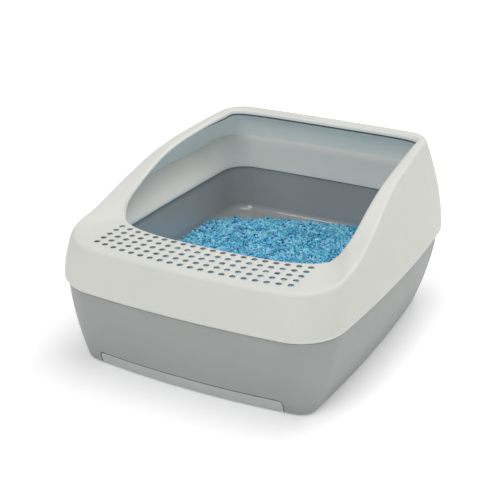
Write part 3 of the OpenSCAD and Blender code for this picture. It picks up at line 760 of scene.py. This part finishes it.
clear_of_pan = PAN_FLOOR + 20
boolean(pan, prism("seat_cutter", sieve_rectangle(0), PAN_FLOOR - SIEVE_T, clear_of_pan), "DIFFERENCE")
boolean(pan, prism("slot_cutter", sieve_rectangle(SIEVE_LEDGE), PAN_UNDER - 5, clear_of_pan), "DIFFERENCE")
piece(pan, pan_grey, "pan", "pan_grey", "litter_pan")

chute = prism("pan_chute", sieve_rectangle(0), DRAWER_H + CHUTE_RISE, PAN_UNDER + 0.5)
boolean(chute, prism("chute_cutter", sieve_rectangle(CHUTE_WALL), DRAWER_H, PAN_UNDER + 5), "DIFFERENCE")
bevel(chute, 0.5)
piece(chute, pan_grey, "pan", "pan_grey")

# ---- Litter ----------------------------------------------------------------------------------
LITTER_DEPTH = 13.0
# The bed thins out behind a slanting line through this point of the plan
THIN_X, THIN_Y, THIN_SLOPE, THIN_RUN, THIN_CURVE = -180.0, 90.0, 0.45, 88.0, 2.5
# Heights of the bed's long and short waves
WAVE_A, WAVE_B = 2.4, 1.4
# The noise's grid of random heights, and the corner of the plan where it begins
NOISE_CELLS, NOISE_X, NOISE_Y = 40, -300.0, -320.0
# One grain: its radius, its height over the bed, and how its shape and its shade vary
GRAIN_SIZE, GRAIN_LIFT = (2.0, 3.6), (-1.0, 0.9)
GRAIN_SQUEEZE, GRAIN_JITTER, GRAIN_SHADE = (0.72, 1.15), (0.78, 1.12), (0.92, 1.08)
# The field in which grains may lie, and how they are spread over it
BED_HALF, BED_FRONT, BED_BACK = 206.0, -260.0, 262.0
ROW_PITCH, SCATTER, GRAIN_CLEAR = 0.87, 0.42, 0.2
# The bed ends where it is this thin. Past that, stray grains lie, fewer and fewer, until its surface
# would be STRAY_DEPTH under the floor
BED_EDGE, STRAY_DEPTH, STRAY_LEAST, STRAY_MORE = 0.5, 5.0, 0.05, 0.1
# The body under the grains: its grid, how deep it lies under the surface, its least height and reach
MASS_CELL, MASS_FRONT, MASS_LENGTH = 6.0, -258.0, 520.0
MASS_SINK, MASS_THIN, MASS_CLEAR, FLOOR_CLEAR = 3.2, 1.2, 1.0, 0.4


def litter_depth(x, y):
    """The bed is level, and thins out to bare floor in the rear left corner."""
    past = (y - THIN_Y) - THIN_SLOPE * (x - THIN_X)
    return LITTER_DEPTH * (1 - (max(0, past) / THIN_RUN) ** THIN_CURVE)


def noise_sheet(seed, cell):
    """Smooth random heights over the plan."""
    grid = np.random.default_rng(seed).random((NOISE_CELLS, NOISE_CELLS))

    def value(x, y):
        u, v = (x - NOISE_X) / cell % (NOISE_CELLS - 1), (y - NOISE_Y) / cell % (NOISE_CELLS - 1)
        i, j = int(u), int(v)
        a, b = smooth(u - i), smooth(v - j)
        return lerp(lerp(grid[i, j], grid[i + 1, j], a), lerp(grid[i, j + 1], grid[i + 1, j + 1], a), b)
    return value


wave_a, wave_b, patches = noise_sheet(3, 46.0), noise_sheet(4, 19.0), noise_sheet(5, 11.0)


def litter_top(x, y):
    waves = WAVE_A * (wave_a(x, y) - 0.5), WAVE_B * (wave_b(x, y) - 0.5)
    return PAN_FLOOR + litter_depth(x, y) + waves[0] + waves[1]


def pan_reach(x, y, z):
    """How far a point lies inside the pan's inner wall at its height. Below 0 is in the wall."""
    under = PAN_FILLET - min(z - PAN_FLOOR, PAN_FILLET)
    back = PAN_FILLET - math.sqrt(max(0, PAN_FILLET ** 2 - under ** 2))
    o = pan_outline(max(z, PAN_FLOOR + PAN_FILLET), -back)
    px, py = x, y
    for _ in range(5):
        bow_x, bow_y = bow(*shares(px, py, o), o)
        px, py = x - bow_x, y - bow_y
    r, end = (o.rear_r, o.back) if py > 0 else (o.front_r, o.front)
    past_x, past_y = abs(px) - (o.half - r), abs(py) - (end - r)
    return r - (math.hypot(past_x, past_y) if past_x > 0 and past_y > 0 else max(past_x, past_y))


# The grains' colours, with how often each one comes
PALETTE = {rgb(144, 206, 226): 20, rgb(118, 198, 224): 27, rgb(144, 190, 220): 12, rgb(92, 184, 216): 20,
           rgb(58, 160, 206): 11, rgb(30, 116, 188): 4, rgb(22, 86, 160): 1, rgb(66, 188, 196): 4}
GOLD = (1 + 5 ** 0.5) / 2
ICO_POINTS = [Vector(v).normalized() for v in
              [(-1, GOLD, 0), (1, GOLD, 0), (-1, -GOLD, 0), (1, -GOLD, 0), (0, -1, GOLD), (0, 1, GOLD),
               (0, -1, -GOLD), (0, 1, -GOLD), (GOLD, 0, -1), (GOLD, 0, 1), (-GOLD, 0, -1), (-GOLD, 0, 1)]]
ICO_FACES = [(0, 11, 5), (0, 5, 1), (0, 1, 7), (0, 7, 10), (0, 10, 11), (1, 5, 9), (5, 11, 4), (11, 10, 2),
             (10, 7, 6), (7, 1, 8), (3, 9, 4), (3, 4, 2), (3, 2, 6), (3, 6, 8), (3, 8, 9), (4, 9, 5),
             (2, 4, 11), (6, 2, 10), (8, 6, 7), (9, 8, 1)]


def staggered(step):
    """Places over the bed's field in rows, every other row half a step on."""
    y, row = BED_FRONT, 0
    while y < BED_BACK:
        x = -BED_HALF + (step / 2 if row % 2 else 0)
        while x < BED_HALF:
            yield x, y
            x += step
        y += step * ROW_PITCH
        row += 1


def grain_colour(rng, x, y):
    """A colour of the palette, paler or deeper by patches of the bed."""
    red, green, blue, _ = rng.choices(list(PALETTE), list(PALETTE.values()))[0]
    shade_by = rng.uniform(*GRAIN_SHADE)
    pale = lerp(0.72, 1.28, patches(x, y))
    return shift((red * pale ** 2, green * pale, blue * pale ** 0.6), shade_by)


def grain_shape(rng, size):
    """The points of one angular grain about its middle: a squeezed, jittered icosahedron."""
    angle = rng.uniform(0, 6.28)
    axis = Vector((rng.gauss(0, 1), rng.gauss(0, 1), 1)).normalized()
    turn = Matrix.Rotation(angle, 3, axis)
    squeeze = [rng.uniform(*GRAIN_SQUEEZE) for _ in range(3)]
    jitter = [rng.uniform(*GRAIN_JITTER) for _ in ICO_POINTS]
    points = [turn @ Vector([a * b for a, b in zip(v, squeeze)]) for v in ICO_POINTS]
    return [[c * size * k for c in v] for v, k in zip(points, jitter)]


def paint(obj, colours):
    """Stores a colour for each point, which the crystals' material reads."""
    layer = obj.data.color_attributes.new("tint", "FLOAT_COLOR", "POINT")
    layer.data.foreach_set("color", [c for colour in colours for c in colour])


def crystal_bed(name, step, drop, seed):
    """A layer of loose grains, drop under the bed's surface."""
    rng = random.Random(seed)
    verts, faces, tints = [], [], []
    for x, y in staggered(step):
        x, y = x + rng.uniform(-SCATTER, SCATTER) * step, y + rng.uniform(-SCATTER, SCATTER) * step
        size, lift = rng.uniform(*GRAIN_SIZE), rng.uniform(*GRAIN_LIFT)
        colour = grain_colour(rng, x, y)
        shape = grain_shape(rng, size)
        depth = litter_depth(x, y)
        stray = STRAY_LEAST + STRAY_MORE * (depth + STRAY_DEPTH) / STRAY_DEPTH
        if depth < BED_EDGE and (depth < -STRAY_DEPTH or rng.random() > stray):
            continue
        z = max(litter_top(x, y) - drop + lift, PAN_FLOOR + size * 0.7)
        if pan_reach(x, y, z) < size + GRAIN_CLEAR:
            continue
        base = len(verts)
        verts += [(x + dx, y + dy, z + dz) for dx, dy, dz in shape]
        faces += [(base + a, base + b, base + c) for a, b, c in ICO_FACES]
        tints += [colour] * len(shape)
    obj = new_object(name, verts, faces, tidy=False)
    paint(obj, tints)
    return obj


def clear_floor(x, y):
    """The lowest height at which a point of the bed clears the pan's floor and its rounded edge."""
    low, high = PAN_FLOOR + SEAT, PAN_FLOOR + PAN_FILLET
    while high - low > 0.05 and pan_reach(x, y, low) < FLOOR_CLEAR:
        low += 0.1
    return low


def bed_mass():
    """The body of the bed under the loose grains, a closed solid that follows its surface."""
    places = {}
    for i in range(int(2 * BED_HALF / MASS_CELL) + 1):
        for j in range(int(MASS_LENGTH / MASS_CELL) + 1):
            x, y = -BED_HALF + i * MASS_CELL, MASS_FRONT + j * MASS_CELL
            z = litter_top(x, y) - MASS_SINK
            if z > PAN_FLOOR + MASS_THIN and pan_reach(x, y, z) > MASS_CLEAR:
                places[i, j] = (x, y, z)
    verts, index = [], {}
    for key, (x, y, z) in places.items():
        index[key] = len(verts)
        verts += [(x, y, z), (x, y, min(clear_floor(x, y), z - 0.2))]
    rings = [[(i, j), (i + 1, j), (i + 1, j + 1), (i, j + 1)] for i, j in places]
    rings = [ring for ring in rings if all(key in places for key in ring)]
    faces = []
    for ring in rings:
        faces.append(tuple(index[key] for key in ring))
        faces.append(tuple(index[key] + 1 for key in reversed(ring)))
    edges = [edge for ring in rings for edge in pairs_round(ring)]
    known = set(edges)
    faces += [(index[a], index[a] + 1, index[b] + 1, index[b]) for a, b in edges if (b, a) not in known]
    obj = new_object("litter_mass", verts, faces)
    paint(obj, [rgb(110, 186, 220)] * len(obj.data.vertices))
    return obj


top_grains = crystal_bed("litter_grains", step=4.9, drop=0.0, seed=11)
piece(top_grains, crystals, "pan", "litter_crystals", "litter_bed", angle=5)
low_grains = crystal_bed("litter_grains_low", step=5.2, drop=2.6, seed=12)
piece(low_grains, crystals, "pan", "litter_crystals", angle=5)
piece(bed_mass(), crystals, "pan", "litter_crystals")

# ---- Base ------------------------------------------------------------------------------------
base = loft("base_shell_skin", [base_section(col) for col in BASE_COLUMNS], closed=False)


def drawer_outline(gap, bottom):
    """The drawer's front as seen from the front, with rounded top corners."""
    w, top, r = DRAWER_W / 2 + gap, DRAWER_H + gap, DRAWER_R + gap
    pts = [(-w, bottom), (w, bottom)]
    for x, start in ((w - r, 0), (-w + r, 90)):
        for degrees in range(start, start + 91, 10):
            a = math.radians(degrees)
            pts.append((x + r * math.cos(a), top - r + r * math.sin(a)))
    return pts


boolean(base, prism("drawer_cutter", drawer_outline(DRAWER_GAP + 0.6, -1), *DRAWER_CUT, "Y"), "DIFFERENCE")
piece(base, grey, "base", "base_grey", "base_shell")

tray_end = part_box("drawer_tray")[1] * 1000
guide_x = tray_end.x - TRAY_FLANGE + SEAT
for side, name in ((-1, "guide_left"), (1, "guide_right")):
    x0, x1 = sorted((side * guide_x, side * (guide_x + GUIDE_WALL)))
    rectangle = [(x0, GUIDE_FRONT), (x1, GUIDE_FRONT), (x1, tray_end.y), (x0, tray_end.y)]
    rib = prism(name, rectangle, FLOOR_TOP - 0.1, tray_end.z - TRAY_WALL - SEAT)
    bevel(rib, 0.5)
    piece(rib, grey, "base", "base_grey")

# ---- Drawer ----------------------------------------------------------------------------------
front_columns = [col for col in BASE_COLUMNS if col[0] == 3 and col[1] == 90] + [(0, 0, 0)]
panel = swept_bar("drawer_panel", [front_band_section(col) for col in front_columns])
boolean(panel, prism("panel_cutter", drawer_outline(0, FOOT_H), *DRAWER_CUT, "Y"), "INTERSECT")
bevel(panel, 0.3)
piece(panel, drawer_grey_painted_light, "drawer", "base_grey", "drawer_front")

# The pad's grid, the radius of its rear corners, its soft edge, and the quilting's pitch
PAD_COLUMNS, PAD_ROWS, PAD_CORNER, PAD_SOFT, QUILT = 96, 140, 11.0, 7.0, 34.0
# The bowed front of the pad's solid is no deeper than this, and the sheet stays so far behind it
PAD_FRONT_DEPTH, PAD_FRONT_GAP, PAD_MARGIN = 60.0, 0.5, 0.05
PAD_EDGE_SHARE, PAD_SEAM_SHARE, QUILT_POWER = 0.35, 0.72, 0.35


def front_edge(node, limit):
    """The x and y of a CAD solid's front edge, as far back as limit."""
    front = {}
    for v in node.data.vertices:
        x = round(v.co.x * 1000)
        front[x] = min(front.get(x, math.inf), v.co.y * 1000)
    return zip(*[(x, y) for x, y in sorted(front.items()) if y < limit])


def pad_sheet():
    """The absorbent pad: a quilted sheet with a soft edge, in the space of its CAD solid."""
    low, high = (v * 1000 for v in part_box("drawer_pad"))
    middle, half = (low.x + high.x) / 2, (high.x - low.x) / 2
    front_x, front_y = front_edge(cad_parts["drawer_pad"], low.y + PAD_FRONT_DEPTH)
    verts, faces = [], []
    for is_top in (True, False):
        for i in range(PAD_COLUMNS + 1):
            x = middle + half * (2 * i / PAD_COLUMNS - 1)
            start = np.interp(x, front_x, front_y) + PAD_FRONT_GAP
            in_corner = max(0, abs(x - middle) - half + PAD_CORNER)
            stop = high.y - (PAD_CORNER - math.sqrt(max(0, PAD_CORNER ** 2 - in_corner ** 2)))
            for y in steps(start, stop, PAD_ROWS):
                edge = min(half - abs(x - middle), y - start, stop - y)
                puff = 1 - (1 - min(1, edge / PAD_SOFT)) ** 2
                waves = math.sin((x + y) * math.pi / QUILT) * math.sin((x - y) * math.pi / QUILT)
                quilt = lerp(PAD_SEAM_SHARE, 1, abs(waves) ** QUILT_POWER)
                thick = (high.z - low.z) * lerp(PAD_EDGE_SHARE, 1, puff * quilt)
                verts.append((x, y, low.z + PAD_MARGIN + (thick - 2 * PAD_MARGIN if is_top else 0)))
    m = PAD_ROWS + 1
    under = (PAD_COLUMNS + 1) * m
    for i in range(PAD_COLUMNS):
        for a in range(i * m, i * m + PAD_ROWS):
            faces.append((a, a + m, a + m + 1, a + 1))
            faces.append((under + a, under + a + 1, under + a + m + 1, under + a + m))
    rim = ([(i, 0) for i in range(PAD_COLUMNS)] + [(PAD_COLUMNS, j) for j in range(PAD_ROWS)]
           + [(i, PAD_ROWS) for i in range(PAD_COLUMNS, 0, -1)] + [(0, j) for j in range(PAD_ROWS, 0, -1)])
    for a, b in pairs_round([i * m + j for i, j in rim]):
        faces.append((a, under + a, under + b, b))
    return new_object("absorbent_pad", verts, faces)


pad = piece(pad_sheet(), pad_fabric, "drawer", "pad_fabric", "drawer_pad", angle=60)

# ---- CAD solids that show as they are --------------------------------------------------------
for name, material in (("base_feet", rubber), ("drawer_tray", tray_grey), ("sieve_plate", sieve_grey)):
    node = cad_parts[name]
    node.data.materials.clear()
    node.data.materials.append(material)

# ---- Stage -----------------------------------------------------------------------------------
FLOOR_HALF = 9000
# The floor's own light grows from the box outward, so that it ends in white
GLOW_FROM, GLOW_TO, GLOW_NEAR, GLOW_FAR = 0.4, 3.0, 0.18, 0.75
# The sky's strength as light and as seen
SKY_LIGHT, SKY_SEEN = 0.25, 1.0


def paper(name):
    g = Graph(name)
    g.feed("Base Color", g.ramp(g.noise(3.0), [(0.3, (0.97, 0.97, 0.97, 1)), (0.7, (0.98, 0.98, 0.98, 1))]))
    distance = g.add("ShaderNodeVectorMath", operation="LENGTH")
    g.link(g.where, distance.inputs[0])
    g.feed("Emission Strength", g.span(distance.outputs["Value"], GLOW_NEAR, GLOW_FAR, GLOW_FROM, GLOW_TO))
    set_inputs(g.shader, {"Roughness": 0.9, "Specular IOR Level": 0.1, "Emission Color": (1, 1, 1, 1)})
    return g.material


corners = [(x * FLOOR_HALF, y * FLOOR_HALF, 0) for x, y in ((-1, -1), (1, -1), (1, 1), (-1, 1))]
floor = new_object("floor", corners, [(0, 1, 2, 3)])
floor.data.materials.append(paper("floor_paper"))

world = bpy.data.worlds.new("studio")
bpy.context.scene.world = world
world.use_nodes = True
sky = world.node_tree.nodes["Background"]
path = world.node_tree.nodes.new("ShaderNodeLightPath")
strength = world.node_tree.nodes.new("ShaderNodeMapRange")
set_inputs(sky, {"Color": (1, 1, 1, 1)})
set_inputs(strength, {"To Min": SKY_LIGHT, "To Max": SKY_SEEN})
world.node_tree.links.new(path.outputs["Is Camera Ray"], strength.inputs["Value"])
world.node_tree.links.new(strength.outputs["Result"], sky.inputs["Strength"])
bpy.context.scene.view_settings.view_transform = "Standard"


def softbox(name, place, target, size, power):
    """A round area light that faces its target."""
    light = bpy.data.lights.new(name, "AREA")
    light.shape, light.size, light.energy = "DISK", size, power
    obj = bpy.data.objects.new(name, light)
    obj.location = place
    obj.rotation_euler = (Vector(target) - Vector(place)).to_track_quat("-Z", "Y").to_euler()
    bpy.context.scene.collection.objects.link(obj)


BOX_MIDDLE, PAN_REAR = (0, 0, 0.15), (0, 0.24, 0.1)
softbox("overhead", (0.3, 0.2, 2.8), BOX_MIDDLE, size=2.4, power=36)
softbox("key", (-0.15, -1.9, 2.2), BOX_MIDDLE, size=1.6, power=23)
softbox("side", (2.4, -0.5, 0.9), BOX_MIDDLE, size=1.6, power=6)
softbox("rear", (0.5, 2.0, 2.2), BOX_MIDDLE, size=1.6, power=20)
softbox("glint", (-1.2, -1.4, 2.3), PAN_REAR, size=0.5, power=3)

# ---- Camera, as solved from the photo ---------------------------------------------------------
AZ, EL, ROLL = math.radians(26.24), math.radians(23.52), math.radians(1.09)
FOCAL_PX, DISTANCE, CENTRE_PX = 1095.22, 1.75777, (263.04, 253.48)
TARGET = Vector((0, -0.00312, 0.12654))
FRAME_PX, SENSOR = 500, 36.0
back = Vector((math.sin(AZ) * math.cos(EL), -math.cos(AZ) * math.cos(EL), math.sin(EL)))
right = Vector((math.cos(AZ), math.sin(AZ), 0))
up = back.cross(right)
cam_x = math.cos(ROLL) * right + math.sin(ROLL) * up
cam_y = -math.sin(ROLL) * right + math.cos(ROLL) * up
turned = Matrix((cam_x, cam_y, back)).transposed().to_4x4()
camera = bpy.data.cameras.new("camera")
camera.sensor_width = SENSOR
camera.lens = FOCAL_PX * SENSOR / FRAME_PX
camera.shift_x = (FRAME_PX / 2 - CENTRE_PX[0]) / FRAME_PX
camera.shift_y = (CENTRE_PX[1] - FRAME_PX / 2) / FRAME_PX
eye = bpy.data.objects.new("camera", camera)
eye.matrix_world = Matrix.Translation(TARGET + back * DISTANCE) @ turned
bpy.context.scene.collection.objects.link(eye)
bpy.context.scene.camera = eye
